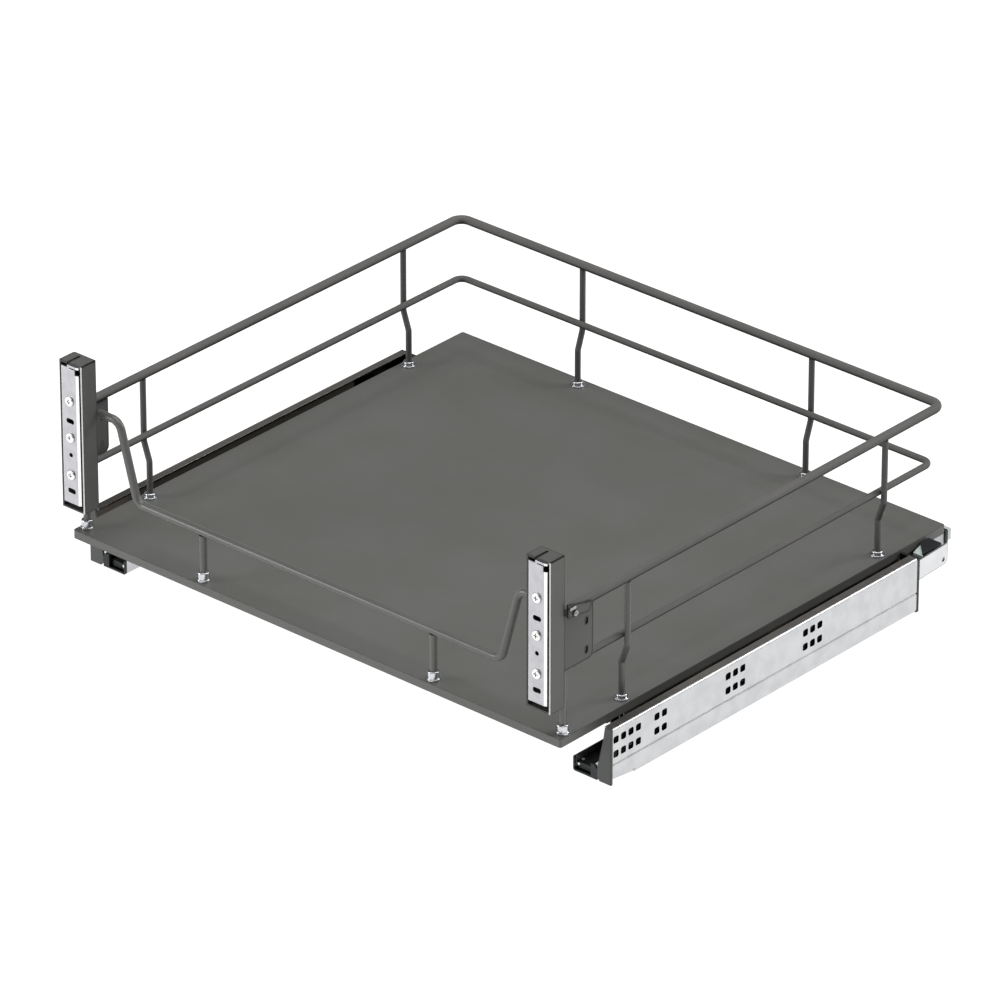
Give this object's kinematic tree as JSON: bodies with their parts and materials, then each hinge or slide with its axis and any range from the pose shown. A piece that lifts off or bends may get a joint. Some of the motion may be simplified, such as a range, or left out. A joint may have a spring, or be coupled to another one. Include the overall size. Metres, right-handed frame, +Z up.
{
  "type": "pull-out wire drawer",
  "caption": "Pull-out cabinet drawer: a flat board with a raised wire gallery, front fixing posts and full-extension runners beneath.",
  "frame": {"origin": "middle of the bounding box's bottom face, under the closed drawer", "axes": "+X to the right seen from the front, -Y towards the user, the way the drawer opens, +Z up"},
  "size_m": [0.568, 0.5026, 0.213],
  "materials": {
    "painted_board": "grey laminate on board, fine texture, matt",
    "painted_wire": "satin powder coat",
    "painted_sheet": "satin powder coat",
    "zinc_sheet": "bright zinc plated sheet",
    "plate_steel": "zinc plated, satin",
    "chrome": "polished",
    "screw_zinc": "bright zinc plated",
    "end_grey": "satin",
    "dark_plastic": "moulded, fine grain",
    "pale_plastic": "moulded",
    "cage_plastic": "moulded",
    "ball_steel": "polished"
  },
  "bodies": {
    "cabinet_side": {"cabinet_profile_left": "zinc_sheet", "flange_liner_left": "dark_plastic", "front_end_plate_left": "end_grey", "front_cap_left": "dark_plastic", "rear_end_cap_left": "dark_plastic", "cabinet_profile_right": "zinc_sheet", "flange_liner_right": "dark_plastic", "front_end_plate_right": "end_grey", "front_cap_right": "dark_plastic", "rear_end_cap_right": "dark_plastic", "rear_bracket": "zinc_sheet", "rear_wedge": "pale_plastic", "soft_close_housing": "dark_plastic"},
    "drawer": {"shelf_board": "painted_board", "top_rail": "painted_wire", "mid_rail": "painted_wire", "upright_left_front": "painted_wire", "upright_left_rear": "painted_wire", "upright_right_front": "painted_wire", "upright_right_rear": "painted_wire", "upright_back_left": "painted_wire", "upright_back_right": "painted_wire", "upright_ferrules": "chrome", "front_rail": "painted_wire", "front_pins": "painted_wire", "front_ferrules": "chrome", "post_left": "painted_sheet", "post_pin_left": "painted_wire", "fixing_plate_left": "plate_steel", "plate_screws_left": "screw_zinc", "side_plate_left": "painted_sheet", "rail_bracket_left": "painted_sheet", "bracket_bolts_left": "screw_zinc", "drawer_profile_left": "zinc_sheet", "rear_hook_left": "dark_plastic", "rear_buffer_left": "pale_plastic", "post_right": "painted_sheet", "post_pin_right": "painted_wire", "fixing_plate_right": "plate_steel", "plate_screws_right": "screw_zinc", "side_plate_right": "painted_sheet", "rail_bracket_right": "painted_sheet", "bracket_bolts_right": "screw_zinc", "drawer_profile_right": "zinc_sheet", "rear_hook_right": "dark_plastic", "rear_buffer_right": "pale_plastic"},
    "mid_left_set": {"mid_profile_left": "zinc_sheet", "mid_nose_left": "dark_plastic", "nose_rivets_left": "screw_zinc"},
    "lower_cage_left_set": {"lower_cage_left": "cage_plastic", "lower_balls_left": "ball_steel"},
    "upper_cage_left_set": {"upper_cage_left": "cage_plastic", "upper_balls_left": "ball_steel"},
    "mid_right_set": {"mid_profile_right": "zinc_sheet", "mid_nose_right": "dark_plastic", "nose_rivets_right": "screw_zinc"},
    "lower_cage_right_set": {"lower_cage_right": "cage_plastic", "lower_balls_right": "ball_steel"},
    "upper_cage_right_set": {"upper_cage_right": "cage_plastic", "upper_balls_right": "ball_steel"}
  },
  "joints": [
    {"name": "drawer_slide", "type": "slide", "parent": "cabinet_side", "child": "drawer", "axis": [0, -1, 0], "range_m": [0, 0.4]},
    {"name": "mid_left_slide", "type": "slide", "parent": "cabinet_side", "child": "mid_left_set", "axis": [0, -1, 0], "range_m": [0, 0.2]},
    {"name": "lower_cage_left_slide", "type": "slide", "parent": "cabinet_side", "child": "lower_cage_left_set", "axis": [0, -1, 0], "range_m": [0, 0.1]},
    {"name": "upper_cage_left_slide", "type": "slide", "parent": "cabinet_side", "child": "upper_cage_left_set", "axis": [0, -1, 0], "range_m": [0, 0.3]},
    {"name": "mid_right_slide", "type": "slide", "parent": "cabinet_side", "child": "mid_right_set", "axis": [0, -1, 0], "range_m": [0, 0.2]},
    {"name": "lower_cage_right_slide", "type": "slide", "parent": "cabinet_side", "child": "lower_cage_right_set", "axis": [0, -1, 0], "range_m": [0, 0.1]},
    {"name": "upper_cage_right_slide", "type": "slide", "parent": "cabinet_side", "child": "upper_cage_right_set", "axis": [0, -1, 0], "range_m": [0, 0.3]}
  ],
  "couplings": [
    {"joint": "mid_left_slide", "follows": "drawer_slide", "ratio": 0.5},
    {"joint": "lower_cage_left_slide", "follows": "drawer_slide", "ratio": 0.25},
    {"joint": "upper_cage_left_slide", "follows": "drawer_slide", "ratio": 0.75},
    {"joint": "mid_right_slide", "follows": "drawer_slide", "ratio": 0.5},
    {"joint": "lower_cage_right_slide", "follows": "drawer_slide", "ratio": 0.25},
    {"joint": "upper_cage_right_slide", "follows": "drawer_slide", "ratio": 0.75}
  ]
}
